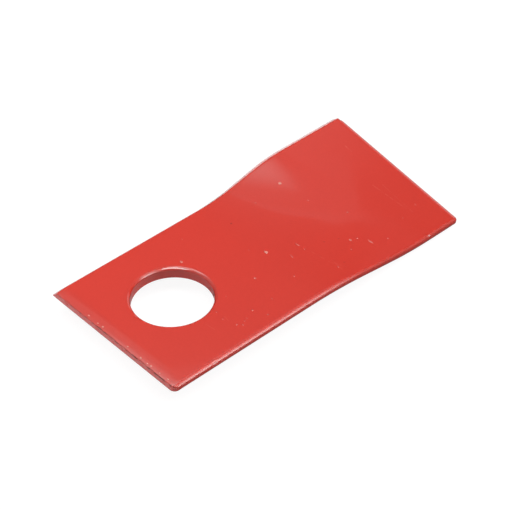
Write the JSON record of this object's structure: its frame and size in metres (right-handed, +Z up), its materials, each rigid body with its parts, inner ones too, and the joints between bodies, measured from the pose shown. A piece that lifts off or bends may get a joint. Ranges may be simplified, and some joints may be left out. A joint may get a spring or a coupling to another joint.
{
  "type": "rotary mower blade",
  "caption": "Painted spring-steel mower blade: a flat end with a round hanging bore, a twisted stretch and a tilted wing; its two bevelled edges let it cut either way up.",
  "frame": {"origin": "on the axis of the hanging bore, at the lower face of the flat end", "axes": "+Z up along the bore, +X along the blade from the bore to the tip, +Y to the raised trailing edge"},
  "size_m": [0.0953, 0.046, 0.0113],
  "materials": {
    "red_paint": "gloss red paint over stamped spring steel"
  },
  "bodies": {
    "root": {"blade": "red_paint"}
  },
  "joints": []
}
